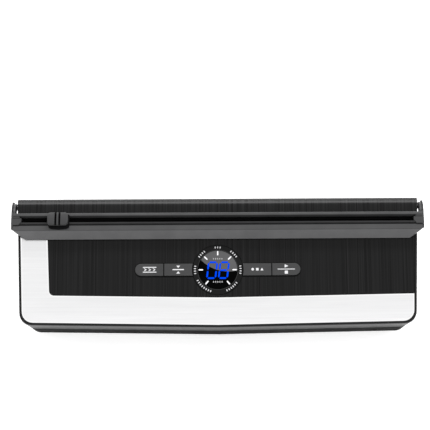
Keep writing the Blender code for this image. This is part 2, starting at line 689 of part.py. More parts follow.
def front_left(inset):
    return [p for p in casing_outline(inset) if p[1] < 0.0 and p[0] < 0.0]


def column_x(y):
    """The steel column's inner edge runs parallel to the lid's slanting side."""
    return COLUMN_INNER_X - COLUMN_SLANT * y


def steel_trim():
    """L-shaped plate: a strip along the front and a column up the left side."""
    strip_y = STRIP_INNER_Y - PLATE_GROOVE / 2
    corner_r = 4.8
    half_right = side_x(strip_y) - PLATE_INSET
    corner_x = column_x(STRIP_INNER_Y) - PLATE_GROOVE / 2
    corner_y = strip_y + V_SLOPE * abs(corner_x)
    inner = [(half_right, strip_y + V_SLOPE * half_right), (0.0, strip_y)]
    inner += list(reversed(arc(corner_x + corner_r, corner_y + corner_r, corner_r, 180, 270)))
    inner += [(column_x(PLATE_END_Y) - PLATE_GROOVE / 2, PLATE_END_Y),
              (-(side_x(PLATE_END_Y) - PLATE_INSET), PLATE_END_Y)]
    points = to_panel(front_right(PLATE_INSET) + inner + front_left(PLATE_INSET))
    return tidy(on_panel(prism_z("steel_trim", points, PLATE_TOP - PLATE_THICK, PLATE_TOP, "brushed_steel")))


def black_panel():
    edge_y = STRIP_INNER_Y + PLATE_GROOVE / 2
    corner_r = 4.2
    half_right = side_x(edge_y) - PLATE_INSET
    corner_x = column_x(STRIP_INNER_Y) + PLATE_GROOVE / 2
    corner_y = edge_y + V_SLOPE * abs(corner_x)
    outline = [(0.0, edge_y), (half_right, edge_y + V_SLOPE * half_right)]
    outline += [(side_x(PLATE_END_Y) - PLATE_INSET, PLATE_END_Y),
                (column_x(PLATE_END_Y) + PLATE_GROOVE / 2, PLATE_END_Y)]
    outline += arc(corner_x + corner_r, corner_y + corner_r, corner_r, 180, 270)
    panel = on_panel(prism_z("black_panel", to_panel(outline), PLATE_TOP - PLATE_THICK, PLATE_TOP,
                             "panel_film"))
    bezel_hole = circle(0.0, panel_s(DISPLAY_Y), BEZEL_R + 0.3, 40)
    cut(panel, on_panel(prism_z("bezel_hole", bezel_hole, -5.0, 5.0)))
    for side in (-1, 1):
        cut(panel, on_panel(prism_z("key_hole", key_slot(side, 0.35), -5.0, 5.0)))
    return tidy(panel)


def display():
    s = panel_s(DISPLAY_Y)
    bezel = prism_z("display_bezel", circle(0.0, s, BEZEL_R, 40), -1.1, 0.3, "display_glass")
    cut(bezel, prism_z("opening", circle(0.0, s, WINDOW_R + 0.2, 40), -2.0, 2.0))
    tidy(on_panel(bezel))
    tidy(on_panel(prism_z("display_window", circle(0.0, s, WINDOW_R - 0.1, 40), -1.1, 0.0, "display_glass")))
    board = box("display_board", (-92.0, s - 17.0, -9.6), (92.0, s + 17.0, -8.0), "circuit_board")
    join(board, prism_z("led_block", circle(0.0, s, 15.0, 24), -8.4, -4.2))
    tidy(on_panel(board))


def key_mats():
    """One silicone dome mat under each pair of keys."""
    s = panel_s(KEY_Y)
    for name, side in (("left", -1), ("right", 1)):
        x0, x1 = sorted((side * 20.0, side * 84.0))
        mat = box(f"key_mat_{name}", (x0, s - 8.0, -7.7), (x1, s + 8.0, -7.0), "rubber")
        for x in ((KEY_INNER_X + KEY_SPLIT_X) / 2, (KEY_SPLIT_X + KEY_OUTER_X) / 2):
            rings = [[(a, b, z) for a, b in circle(side * x, s, r, 16)] for r, z in ((3.6, -7.3), (2.6, -6.0))]
            join(mat, loft("dome", rings))
        tidy(on_panel(mat))


def key(name, side, is_outer):
    centre = panel_s(KEY_Y)
    h = KEY_HALF_HEIGHT
    x0 = KEY_SPLIT_X + KEY_HALF_GAP if is_outer else KEY_INNER_X
    x1 = KEY_OUTER_X - h if is_outer else KEY_SPLIT_X - KEY_HALF_GAP

    def outline(spread):
        end = arc(x1, centre, h + spread, -90, 90, 12) if is_outer else [(x1, centre - h - spread),
                                                                        (x1, centre + h + spread)]
        return [(x0, centre - h - spread)] + end + [(x0, centre + h + spread)]

    rings = []
    for spread, n in ((0.0, -4.9), (0.0, KEY_PROUD - 0.3), (-0.3, KEY_PROUD)):
        rings.append([(side * x, s, n) for x, s in outline(spread)])
    piece = loft(name, rings, "grey_plastic")
    far = x1 if is_outer else x1 - 0.6
    low, high = sorted((side * (x0 + 0.6), side * far))
    join(piece, box("flange", (low, centre - h - 1.2, -4.9), (high, centre + h + 1.2, -3.8)))
    cut(piece, prism_z("round_end", circle(0.0, panel_s(DISPLAY_Y), BEZEL_R + 0.6, 48), -8.0, 5.0))
    tidy(on_panel(piece))


def keys():
    for name, side, is_outer in (("key_external_vacuum", -1, True), ("key_seal", -1, False),
                                 ("key_mode", 1, False), ("key_start_stop", 1, True)):
        key(name, side, is_outer)


def lid_liner():
    outline = casing_outline(SKIRT_INSET + WALL + 0.8, 58.0)
    liner = prism_z("lid_liner", outline, 43.3, 45.3, "liner_plastic")
    ring = round_rectangle(-GASKET_HALF_X - 1.6, GASKET_HALF_X + 1.6, GASKET_FRONT_Y - 1.6,
                           GASKET_REAR_Y + 1.6, 12.0)
    core = round_rectangle(-GASKET_HALF_X + 7.6, GASKET_HALF_X - 7.6, GASKET_FRONT_Y + 7.6,
                           GASKET_REAR_Y - 7.6, 5.0)
    rib = cut(prism_z("rib", ring, 45.0, 47.6), prism_z("rib_core", core, 40.0, 50.0))
    join(liner, rib)
    cut(liner, gasket_groove(0.3, 40.0, 46.2))
    cut(liner, box("pad_slot", (-HEATER_HALF - 2.4, HEATER_Y - 6.2, 40.0),
                   (HEATER_HALF + 2.4, HEATER_Y + 6.2, 50.0)))
    for side in (-1, 1):
        slot = sorted((side * 173.6, side * 179.0))
        cut(liner, box("hook_hole", (slot[0], LATCH_Y - 4.4, 40.0), (slot[1], LATCH_Y + 4.4, 50.0)))
    return tidy(liner)


def seal_pad():
    holder = box("seal_pad_holder", (-HEATER_HALF - 2, HEATER_Y - 5.8, 43.5),
                 (HEATER_HALF + 2, HEATER_Y + 5.8, 50.0), "liner_plastic")
    cut(holder, box("channel", (-HEATER_HALF - 0.6, HEATER_Y - 4.4, 40.0),
                    (HEATER_HALF + 0.6, HEATER_Y + 4.4, 48.4)))
    tidy(holder)
    tidy(box("seal_pad", (-HEATER_HALF, HEATER_Y - 4.0, 42.5), (HEATER_HALF, HEATER_Y + 4.0, 48.0), "silicone"))


def latch_hook(name, side):
    """Hook whose barb points to the middle of the lid and hangs just above the catch."""
    foot_z = CATCH_Z + CATCH_THICK + 0.4
    profile = [(178.6, 45.8), (178.6, foot_z + 0.8), (178.0, foot_z), (176.4, foot_z), (173.9, foot_z + 3.2),
               (173.9, foot_z + 4.0), (176.0, foot_z + 4.0), (176.0, 45.8)]
    hook = prism_y(f"latch_hook_{name}", [(side * x, z) for x, z in profile], LATCH_Y - 4, LATCH_Y + 4,
                   "liner_plastic")
    x0, x1 = sorted((side * 172.4, side * 182.2))
    join(hook, box("head", (x0, LATCH_Y - 7, 45.7), (x1, LATCH_Y + 7, 47.4)))
    tidy(hook)


# ---------------------------------------------------------------- cutter bar

def end_chamfer(side):
    """Cutter that slants the bar's front corner in towards the lid."""
    corner = [(181.4, 19.9), (198.0, 29.5), (198.0, 10.0), (181.4, 10.0)]
    return prism_z("corner", [(side * x, y) for x, y in corner], 60.0, 90.0)


def plug_outline(side, spread):
    """Plan of the plug that closes the slot's end, with its front corner cut off."""
    tip = 185.9 - spread
    front = 31.9 - spread
    points = [(tip, 38.3 + spread), (tip, 34.8 - 0.4 * spread), (tip + 2.7, front), (RAIL_HALF + 0.8, front),
              (RAIL_HALF + 0.8, 38.3 + spread)]
    return [(side * x, y) for x, y in points]


def cutter_rail():
    slot_floor = 73.0
    channel_top = 75.8
    profile = [(20.4, 69.3), (22.7, 69.6), (27.2, 76.2), (31.0, 76.6), (31.0, 70.6), (43.4, 71.2), (43.4, 79.4),
               (42.9, RAIL_TOP_Z), (41.0, RAIL_TOP_Z), (40.6, 79.6), (39.6, 76.4), (SLOT_REAR_Y, 76.1),
               (SLOT_REAR_Y, channel_top), (40.7, channel_top), (40.7, slot_floor), (33.1, slot_floor),
               (33.1, channel_top), (SLOT_FRONT_Y, channel_top), (SLOT_FRONT_Y, 79.2), (34.1, 79.5),
               (32.9, 79.5), (32.6, 79.2), (32.6, 77.9), (31.1, 77.9), (31.1, 78.8), (26.9, 78.4), (26.2, 77.9)]
    rail = prism_x("cutter_rail", profile, -RAIL_HALF, RAIL_HALF, "grey_plastic")
    cut(rail, box("neck", (-NECK_HALF, SLIDE_Y - 1.0, 60.0), (NECK_HALF, SLIDE_Y + 1.0, 74.0)))
    for side in (-1, 1):
        cut(rail, end_chamfer(side), prism_z("plug_seat", plug_outline(side, 0.3), 77.3, 90.0))
    return tidy(rail)


def cutter_arm(name, side):
    def across(a, b):
        return sorted((side * a, side * b))
    inner_r = 3.3
    inner_view = arc(CUTTER_PIVOT_Y, CUTTER_PIVOT_Z, inner_r, -110, 20, 8)
    inner_view += [(57.2, 68.4), (54.0, 73.4), (49.0, 76.4), (43.7, 77.4), (43.7, 66.0)]
    x0, x1 = across(192.5, BAR_HALF - 1.0)
    arm = prism_x(f"cutter_arm_{name}", inner_view, x0, x1, "grey_plastic")
    outer_view = arc(CUTTER_PIVOT_Y, CUTTER_PIVOT_Z, 4.0, -110, 20, 8)
    outer_view += [(58.4, 69.0), (57.0, 73.0), (51.0, 78.0), (44.5, 79.6), (32.9, 79.5), (31.1, 78.8),
                   (26.6, 78.2), (26.6, 75.6), (31.0, 76.2), (36.0, 70.8), (44.0, 70.6), (47.0, 65.6)]
    x0, x1 = across(RAIL_HALF + 0.3, BAR_HALF)
    join(arm, prism_x("outer_plate", outer_view, x0, x1))
    cut(arm, end_chamfer(side))
    x0, x1 = across(185.9, RAIL_HALF + 0.8)
    join(arm, box("tongue_foot", (x0, 34.9, 73.4), (x1, 38.8, 78.0)),
         prism_z("tongue", plug_outline(side, 0.0), 77.6, 80.0))
    x0, x1 = across(187.6, RAIL_HALF + 0.8)
    join(arm, prism_x("wedge", [(38.9, 77.6), (39.6, 77.6), (40.2, 79.4), (40.2, 80.0), (38.9, 79.3)], x0, x1),
         prism_x("boss", circle(CUTTER_PIVOT_Y, CUTTER_PIVOT_Z, 2.9, 20), *across(191.8, 192.8)))
    cut(arm, prism_x("pivot_hole", circle(CUTTER_PIVOT_Y, CUTTER_PIVOT_Z, 2.1, 20), *across(185.0, 200.0)))
    return tidy(arm)


def cutter_pivot(name, side):
    def across(a, b):
        return sorted((side * a, side * b))
    pin = prism_x(f"cutter_pivot_{name}", circle(CUTTER_PIVOT_Y, CUTTER_PIVOT_Z, 2.0, 20),
                  *across(184.2, 195.2), "bright_steel")
    collar = prism_x("collar", circle(CUTTER_PIVOT_Y, CUTTER_PIVOT_Z, 2.9, 20), *across(183.0, 185.8))
    return tidy(join(pin, collar))


def slider():
    x0, x1 = SLIDER_X - SLIDER_HALF, SLIDER_X + SLIDER_HALF
    front, rear = 30.6, 43.0
    rings = []
    for grow, z in ((0.0, 80.4), (0.0, 83.0), (-0.5, 83.7), (-1.3, 84.0)):
        outline = round_rectangle(x0 - grow, x1 + grow, front - grow, rear + grow, 3.0 + grow, 4)
        rings.append([(x, y, z) for x, y in outline])
    knob = loft("slider_knob", rings, "grey_plastic")
    for offset in (-GRIP_GROOVE_X, GRIP_GROOVE_X):
        x = SLIDER_X + offset
        cut(knob, box("groove", (x - 0.85, 20.0, 81.8), (x + 0.85, 60.0, 90.0)))
    join(knob, box("neck", (x0 + 2, SLIDE_Y - 1.8, 75.0), (x1 - 2, SLIDE_Y + 1.8, 81.0)),
         box("shoe", (x0 + 1, SLIDE_Y - 3.3, 73.4), (x1 - 1, SLIDE_Y + 3.3, 75.5)))
    cut(knob, box("blade_slot", (SLIDER_X - 6.4, SLIDE_Y - 0.6, 70.0), (SLIDER_X + 6.4, SLIDE_Y + 0.6, 75.0)))
    tidy(knob)
    blade = [(-6.0, 74.6), (6.0, 74.6), (6.0, 71.6), (1.2, 68.0), (-1.2, 68.0), (-6.0, 71.6)]
    cutter = prism_y("slider_blade", [(SLIDER_X + x, z) for x, z in blade], SLIDE_Y - 0.25, SLIDE_Y + 0.25,
                     "bright_steel")
    tidy(cutter)
    hang("slider_axis", (SLIDER_X, SLIDE_Y, 74.5), knob, cutter)


# ---------------------------------------------------------------- assembly

def hang_by_names(pivot_name, point, names):
    hang(pivot_name, point, *[bpy.data.objects[name] for name in names])


def main():
    clear_scene()
    bottom_shell()
    feet()
    housing_screws()
    base_deck()
    gasket("lower_gasket", 39.1, 42.25)
    sealing_band()
    drip_tray()
    hinge_pins()
    pump()
    valve()
    electrics()
    hoses()
    lid_shell()
    steel_trim()
    black_panel()
    display()
    key_mats()
    keys()
    lid_liner()
    gasket("upper_gasket", 42.6, 45.9)
    seal_pad()
    cutter_rail()
    slider()
    for name, side in (("left", -1), ("right", 1)):
        release_button(name, side)
        release_spring(name, side)
        latch_hook(name, side)
        cutter_arm(name, side)
        cutter_pivot(name, side)
    lid_nodes = ("lid_shell", "lid_liner", "upper_gasket", "seal_pad_holder", "seal_pad", "latch_hook_left",
                 "latch_hook_right", "cutter_pivot_left", "cutter_pivot_right")
    hang_by_names("lid_axis", (0.0, HINGE_Y, HINGE_Z), lid_nodes)
    hang_by_names("cutter_axis", (0.0, CUTTER_PIVOT_Y, CUTTER_PIVOT_Z),
                  ("cutter_rail", "cutter_arm_left", "cutter_arm_right"))


main()
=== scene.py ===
"""Looks of the vacuum sealer: refined shells, brushed plates, display, key marks, floor, light, camera."""

import json
import math

import bmesh
import bpy
from mathutils import Matrix, Vector

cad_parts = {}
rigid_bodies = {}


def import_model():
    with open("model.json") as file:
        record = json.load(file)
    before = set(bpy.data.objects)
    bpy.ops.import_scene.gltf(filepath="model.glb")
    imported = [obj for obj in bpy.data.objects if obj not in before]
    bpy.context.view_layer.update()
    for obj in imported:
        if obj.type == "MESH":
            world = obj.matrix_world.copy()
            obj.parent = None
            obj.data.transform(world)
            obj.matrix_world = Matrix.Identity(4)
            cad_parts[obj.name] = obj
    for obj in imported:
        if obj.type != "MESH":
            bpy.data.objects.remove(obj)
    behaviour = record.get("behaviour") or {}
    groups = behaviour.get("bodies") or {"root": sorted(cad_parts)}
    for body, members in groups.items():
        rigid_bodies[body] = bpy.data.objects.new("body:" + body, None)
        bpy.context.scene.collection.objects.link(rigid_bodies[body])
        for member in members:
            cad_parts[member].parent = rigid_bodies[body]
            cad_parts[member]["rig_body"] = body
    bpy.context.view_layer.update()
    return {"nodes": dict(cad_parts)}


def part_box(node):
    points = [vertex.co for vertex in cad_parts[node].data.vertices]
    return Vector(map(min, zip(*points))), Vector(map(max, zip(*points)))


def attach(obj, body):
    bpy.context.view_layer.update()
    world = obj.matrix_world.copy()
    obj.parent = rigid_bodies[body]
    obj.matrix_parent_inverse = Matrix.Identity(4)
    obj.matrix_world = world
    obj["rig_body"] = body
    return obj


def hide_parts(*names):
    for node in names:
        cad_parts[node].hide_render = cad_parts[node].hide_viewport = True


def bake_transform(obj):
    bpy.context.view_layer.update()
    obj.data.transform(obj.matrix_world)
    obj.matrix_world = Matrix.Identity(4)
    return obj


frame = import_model()
NODES = frame["nodes"]
MM = 0.001

# The lid's sloping top, as in the CAD, in mm: s is the way up the slope from the lid's front edge
LID_TILT = math.radians(6.5)
FRONT_Y = -63.5
FRONT_Z = 58.0
LID_FRONT = Vector((0.0, FRONT_Y, FRONT_Z)) * MM
DISPLAY_S = (-8.85 - FRONT_Y) / math.cos(LID_TILT)
KEYS_S = (-8.6 - FRONT_Y) / math.cos(LID_TILT)
WINDOW_R = 18.8
KEY_R = 6.0

# Underside and top of each thin plate on the slope, in mm above the plane of the lid's rim
SHADOW_LIP_HEIGHTS = (-0.25, -0.15)
SKY_HEIGHTS = (0.02, 0.08)
GLASS_HEIGHTS = (0.12, 0.22)
STATUS_HEIGHTS = (0.12, 0.20)
BEZEL_HEIGHTS = (0.27, 0.36)
RING_HEIGHTS = (0.29, 0.33)
SIGN_HEIGHTS = (0.68, 0.78)

# Edges that turn more than this are shaded sharp and get a bevel
SHARP_ANGLE = math.radians(32)

# ---------------------------------------------------------------- materials


class Shader:
    """A Principled material with helpers for its texture nodes. Coordinates are the object's, in metres."""

    def __init__(self, name, colour, roughness, metallic=0.0, **sockets):
        self.material = bpy.data.materials.new(name)
        self.material.use_nodes = True
        self.tree = self.material.node_tree
        self.bsdf = self.tree.nodes["Principled BSDF"]
        self.bsdf.inputs["Base Color"].default_value = (*colour, 1.0)
        self.bsdf.inputs["Roughness"].default_value = roughness
        self.bsdf.inputs["Metallic"].default_value = metallic
        for socket, value in sockets.items():
            self.bsdf.inputs[socket.replace("_", " ")].default_value = value
        self.coords = self.tree.nodes.new("ShaderNodeTexCoord").outputs["Object"]

    def link(self, a, b):
        self.tree.links.new(a, b)

    def noise(self, scale, detail=2.0, rough=0.5):
        """Noise whose cells are stretched: scale is per metre along X, Y and Z."""
        mapping = self.tree.nodes.new("ShaderNodeMapping")
        mapping.inputs["Scale"].default_value = scale
        self.link(self.coords, mapping.inputs["Vector"])
        texture = self.tree.nodes.new("ShaderNodeTexNoise")
        texture.inputs["Scale"].default_value = 1.0
        texture.inputs["Detail"].default_value = detail
        texture.inputs["Roughness"].default_value = rough
        self.link(mapping.outputs["Vector"], texture.inputs["Vector"])
        return texture.outputs["Fac"]

    def math(self, operation, *values):
        node = self.tree.nodes.new("ShaderNodeMath")
        node.operation = operation
        for socket, value in zip(node.inputs, values):
            if isinstance(value, (int, float)):
                socket.default_value = value
            else:
                self.link(value, socket)
        return node.outputs[0]

    def span(self, fac, low, high, start=0.3, end=0.7):
        """Maps a factor from start..end to low..high."""
        node = self.tree.nodes.new("ShaderNodeMapRange")
        node.inputs["From Min"].default_value = start
        node.inputs["From Max"].default_value = end
        node.inputs["To Min"].default_value = low
        node.inputs["To Max"].default_value = high
        self.link(fac, node.inputs["Value"])
        return node.outputs["Result"]

    def colour(self, fac, low, high):
        node = self.tree.nodes.new("ShaderNodeMix")
        node.data_type = "RGBA"
        node.inputs["A"].default_value = (*low, 1.0)
        node.inputs["B"].default_value = (*high, 1.0)
        self.link(fac, node.inputs["Factor"])
        return node.outputs["Result"]

    def bump(self, height, distance, strength):
        node = self.tree.nodes.new("ShaderNodeBump")
        node.inputs["Distance"].default_value = distance
        node.inputs["Strength"].default_value = strength
        self.link(height, node.inputs["Height"])
        self.link(node.outputs["Normal"], self.bsdf.inputs["Normal"])

    def axis(self, name):
        node = self.tree.nodes.new("ShaderNodeSeparateXYZ")
        self.link(self.coords, node.inputs["Vector"])
        return node.outputs[name]

    def into(self, fac, socket):
        self.link(fac, self.bsdf.inputs[socket])


def grey(value):
    """A grey with a trace of blue."""
    return (value, value, value * 1.02)


def moulded(name, value, roughness, grain=0.00002, spec=0.5):
    """Moulded plastic: spark-eroded grain, in metres, with faint mottling and handling marks in its gloss."""
    s = Shader(name, grey(value), roughness, Specular_IOR_Level=spec)
    mottle = s.noise((60, 60, 60), 3.0)
    s.into(s.colour(s.span(mottle, 0.0, 1.0), grey(value * 0.92), grey(value * 1.08)), "Base Color")
    smears = s.noise((90, 25, 90), 4.0, 0.6)
    s.into(s.span(smears, roughness - 0.05, roughness + 0.07), "Roughness")
    s.bump(s.noise((3200, 3200, 3200), 1.0), grain, 0.5)
    return s.material


def brushed_steel():
    """Fine lines along X, and broader bands in its tone."""
    s = Shader("brushed_steel_trim", (0.87, 0.87, 0.875), 0.34, 1.0)
    lines = s.noise((14, 2600, 2600), 3.0, 0.65)
    bands = s.noise((5, 420, 420), 2.0)
    both = s.math("ADD", s.math("MULTIPLY", lines, 0.7), s.math("MULTIPLY", bands, 0.3))
    shade = s.span(both, 0.0, 1.0, 0.35, 0.65)
    s.into(s.colour(shade, (0.795, 0.795, 0.80), (0.845, 0.845, 0.85)), "Base Color")
    s.into(s.span(lines, 0.28, 0.44), "Roughness")
    s.bump(lines, 0.000010, 0.5)
    return s.material


def polished_edge():
    """The bright cut edge of the steel."""
    s = Shader("polished_steel_edge", (0.985, 0.985, 0.985), 0.16, 1.0)
    s.into(s.span(s.noise((30, 900, 900), 3.0), 0.12, 0.22), "Roughness")
    return s.material


def brushed_black(name, low, high, roughness, spread, spec):
    """Hairline finish in black whose strokes run up the lid's slope."""
    s = Shader(name, grey((low + high) / 2), roughness, Specular_IOR_Level=spec)
    fine = s.noise((2300, 9, 9), 3.0, 0.6)
    broad = s.noise((750, 2.5, 2.5), 2.0, 0.55)
    both = s.math("ADD", s.math("MULTIPLY", fine, 0.35), s.math("MULTIPLY", broad, 0.65))
    shade = s.span(both, 0.0, 1.0, 0.36, 0.64)
    s.into(s.colour(shade, grey(low), grey(high)), "Base Color")
    s.into(s.span(both, roughness - spread, roughness + spread, 0.36, 0.64), "Roughness")
    s.bump(fine, 0.000010, 0.4)
    return s.material


def metal(name, colour, roughness):
    """Turned or drawn metal with faint lines along X."""
    s = Shader(name, colour, roughness, 1.0)
    lines = s.noise((40, 900, 900), 3.0)
    s.into(s.span(lines, roughness - 0.08, roughness + 0.12), "Roughness")
    dark = tuple(c * 0.85 for c in colour)
    s.into(s.colour(s.span(s.noise((150, 150, 150), 3.0), 0.0, 1.0), dark, colour), "Base Color")
    s.bump(lines, 0.00001, 0.4)
    return s.material


def soft(name, colour, roughness, cell, depth):
    """Rubber, silicone or foam: matte with a fine pitted surface. Cells are per metre, depth is in metres."""
    s = Shader(name, colour, roughness)
    dark = tuple(c * 0.75 for c in colour)
    s.into(s.colour(s.span(s.noise((200, 200, 200), 4.0), 0.0, 1.0), dark, colour), "Base Color")
    s.bump(s.noise((cell, cell, cell), 3.0), depth, 0.7)
    return s.material


def woven_tape():
    """Glass cloth in a brown coating, its threads 0.8 mm apart."""
    s = Shader("release_tape_weave", (0.36, 0.25, 0.15), 0.5)
    thread = 0.0008
    warp = s.math("SINE", s.math("MULTIPLY", s.axis("X"), 2 * math.pi / thread))
    weft = s.math("SINE", s.math("MULTIPLY", s.axis("Y"), 2 * math.pi / thread))
    weave = s.math("MULTIPLY", warp, weft)
    shade = s.span(weave, 0.0, 1.0, -1.0, 1.0)
    s.into(s.colour(shade, (0.27, 0.18, 0.10), (0.40, 0.29, 0.18)), "Base Color")
    s.bump(weave, 0.00002, 0.6)
    return s.material


def board_green(name, top=1.0):
    """Solder mask with its tracks. What stands higher than top, in metres, is black plastic: nothing, unless
    top is given."""
    s = Shader(name, (0.02, 0.16, 0.07), 0.35)
    tracks = s.math("GREATER_THAN", s.noise((900, 260, 260), 0.0), 0.56)
    mix = s.tree.nodes.new("ShaderNodeMix")
    mix.data_type = "RGBA"
    s.link(s.math("GREATER_THAN", s.axis("Z"), top), mix.inputs["Factor"])
    s.link(s.colour(tracks, (0.012, 0.11, 0.05), (0.03, 0.21, 0.10)), mix.inputs["A"])
    mix.inputs["B"].default_value = (0.03, 0.03, 0.032, 1.0)
    s.into(mix.outputs["Result"], "Base Color")
    s.bump(tracks, 0.00003, 0.6)
    return s.material


def window_glass():
    """The display's black cover with a little haze in its gloss."""
    s = Shader("display_black_glass", (0.0006, 0.0006, 0.0007), 0.06, Specular_IOR_Level=0.02)
    s.into(s.span(s.noise((70, 70, 70), 3.0), 0.04, 0.09), "Roughness")
    return s.material


def painted_reflection_glass():
    """A painted reflection on the display's cover: a lighter grey over part of the window."""
    s = Shader("display_painted_reflection", grey(0.13), 0.12, Specular_IOR_Level=0.05)
    shade = s.span(s.noise((25, 45, 25), 2.0), 0.0, 1.0)
    s.into(s.colour(shade, grey(0.078), grey(0.095)), "Base Color")
    return s.material


def glowing(name, colour):
    """A lit mark."""
    s = Shader(name, (0.0, 0.0, 0.0), 0.3, Specular_IOR_Level=0.0)
    s.bsdf.inputs["Emission Color"].default_value = (*colour, 1.0)
    s.bsdf.inputs["Emission Strength"].default_value = 1.0
    s.into(s.span(s.noise((400, 400, 400), 1.0), 0.25, 0.4), "Roughness")
    return s.material


def printed(name, value):
    """Screen-printed ink with slightly uneven cover."""
    s = Shader(name, grey(value), 0.5)
    cover = s.span(s.noise((1500, 1500, 1500), 2.0), 0.0, 1.0)
    s.into(s.colour(cover, grey(value * 0.93), grey(value)), "Base Color")
    return s.material


MATS = {
    "lid": moulded("lid_gloss_black", 0.013, 0.16, 0.000006, 0.085),
    "matte": moulded("lid_rear_matte", 0.006, 0.6, spec=0.02),
    "wrap": brushed_black("rear_brushed_black", 0.002, 0.012, 0.33, 0.10, 0.14),
    # The crest's copy of the brushed black is lighter: a painted highlight, with some real extra gloss
    "crest": brushed_black("rear_crest_painted_highlight", 0.0, 0.030, 0.38, 0.06, 0.235),
    "panel": brushed_black("brushed_black_panel", 0.0015, 0.0105, 0.34, 0.08, 0.13),
    "black": moulded("black_moulded", 0.005, 0.5, spec=0.006),
    "deck": moulded("deck_moulded", 0.016, 0.45, spec=0.12),
    "grey": moulded("grey_moulded", 0.056, 0.40, spec=0.20),
    # A lighter copy of the grey for faces that slope to the front: painted light from the front
    "flange": moulded("grey_moulded_painted_light", 0.098, 0.40, spec=0.20),
    "knob": moulded("knob_moulded", 0.043, 0.42, spec=0.15),
    # A darker copy of the grey: painted shade on the cutter bar's slopes and edges
    "slope": moulded("grey_moulded_shaded", 0.026, 0.5, spec=0.06),
    # Black for painted shade in slots and grooves, under the slider knob and in front of the keys
    "slot": moulded("painted_shade_black", 0.005, 0.6, spec=0.02),
    "key": moulded("key_moulded", 0.043, 0.45, spec=0.15),
    "button": moulded("button_moulded", 0.080, 0.42, spec=0.4),
    "liner": moulded("liner_moulded", 0.030, 0.55, 0.00003),
    "tray": moulded("tray_moulded", 0.10, 0.30),
    "steel": brushed_steel(),
    "edge": polished_edge(),
    "pin": metal("turned_steel", (0.62, 0.62, 0.63), 0.28),
    "heater": metal("heater_alloy_strip", (0.55, 0.52, 0.48), 0.35),
    "coil": moulded("coil_lacquer_red", 0.10, 0.35),
    "rubber": soft("black_rubber", (0.022, 0.022, 0.022), 0.75, 1800, 0.00004),
    "foam": soft("grey_foam_cells", (0.10, 0.10, 0.10), 0.9, 2600, 0.00008),
    "silicone": soft("red_silicone", (0.36, 0.06, 0.04), 0.55, 1500, 0.00002),
    "hose": soft("clear_grey_hose", (0.5, 0.5, 0.5), 0.35, 900, 0.00002),
    "tape": woven_tape(),
    "board": board_green("solder_mask"),
    "main_board": board_green("main_solder_mask", 13.7 * MM),
    "bezel": moulded("bezel_black", 0.006, 0.28, 0.000006, 0.10),
    "ring": moulded("bezel_inner_ring", 0.024, 0.3, 0.000006, 0.15),
    "glass": window_glass(),
    # Painted reflection on the display glass
    "sheen": painted_reflection_glass(),
    "white": printed("white_print", 0.80),
    "sign": printed("key_print", 0.64),
    "print": printed("bezel_print", 0.52),
    "faint": printed("display_print", 0.36),
    "blue": glowing("blue_segments", (0.0, 0.075, 1.0)),
}

# ---------------------------------------------------------------- refined CAD pieces

# node: (main material, edge radius in mm, segments)
REFINED = {
    "lid_shell": ("lid", 0.45, 3),
    "black_panel": ("panel", 0.15, 2),
    "cutter_rail": ("grey", 0.15, 2),
    "cutter_arm_left": ("grey", 0.15, 2),
    "cutter_arm_right": ("grey", 0.15, 2),
    "slider_knob": ("knob", 0.25, 3),
    "bottom_shell": ("black", 0.4, 2),
    "base_deck": ("deck", 0.35, 2),
    "lid_liner": ("liner", 0.3, 2),
    "drip_tray": ("tray", 0.3, 2),
    "display_bezel": ("bezel", 0.2, 2),
    "display_window": ("glass", 0.15, 2),
    "release_button_left": ("button", 0.5, 3),
    "release_button_right": ("button", 0.5, 3),
    "power_inlet": ("deck", 0.3, 2),
    "accessory_port": ("button", 0.4, 2),
    "key_external_vacuum": ("key", 0.22, 3),
    "key_seal": ("key", 0.22, 3),
    "key_mode": ("key", 0.22, 3),
    "key_start_stop": ("key", 0.22, 3),
    "latch_hook_left": ("liner", 0.3, 2),
    "latch_hook_right": ("liner", 0.3, 2),
    "seal_pad": ("silicone", 0.8, 3),
    "seal_pad_holder": ("liner", 0.3, 2),
    "lower_gasket": ("foam", 0.9, 3),
    "upper_gasket": ("foam", 0.9, 3),
    "foot_front_left": ("rubber", 0.4, 2),
    "foot_front_right": ("rubber", 0.4, 2),
    "foot_rear_left": ("rubber", 0.4, 2),
    "foot_rear_right": ("rubber", 0.4, 2),
}
# material: the CAD nodes that keep their mesh and only get this look
CARRIED = {
    "liner": ("heater_bed", "pump_frame", "lid_switch"),
    "heater": ("heater_strip",),
    "tape": ("release_tape",),
    "pin": ("hinge_pin_left", "hinge_pin_right", "pump_motor", "transformer", "motor_shaft", "valve_plunger",
            "cutter_pivot_left", "cutter_pivot_right", "slider_blade",
            "housing_screw_1", "housing_screw_2", "housing_screw_3", "housing_screw_4"),
    "black": ("pump_head",),
    "coil": ("valve_body",),
    "main_board": ("main_board",),
    "board": ("display_board",),
    "hose": ("vacuum_hose",),
    "rubber": ("mains_lead", "key_mat_left", "key_mat_right"),
    "grey": ("pump_rod",),
}

# In metres: where the lid's brushed rear part starts, under the cutter bar, and the slider knob's middle
WRAP_Y = 0.0303
KNOB_X = (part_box("slider_knob")[0][0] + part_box("slider_knob")[1][0]) / 2


def within(value, limits):
    low, high = limits
    return low < value < high


# Each rule names a face's material from its centre, in metres, and its normal. A normal's part over
# FACES_UP in Z looks up, and one over SQUARE_ON stands square on its axis.
FACES_UP = 0.3
SQUARE_ON = 0.9


def lid_rule(centre, normal):
    """Behind the cutter bar the top and its crest are brushed, the crest in a lighter copy that is a painted
    highlight; the rear wall is matte.
    """
    wall_y, wall_steepness = 0.0565, math.sin(math.radians(56))
    crest_y, crest_steepness = 0.05, (0.05, 0.55)
    if centre.y > wall_y and normal.y > wall_steepness:
        return "matte"
    if centre.y > WRAP_Y and normal.z > FACES_UP:
        on_crest = centre.y > crest_y and within(normal.y, crest_steepness)
        # The crest's lighter copy is a painted highlight
        return "crest" if on_crest else "wrap"
    return "lid"


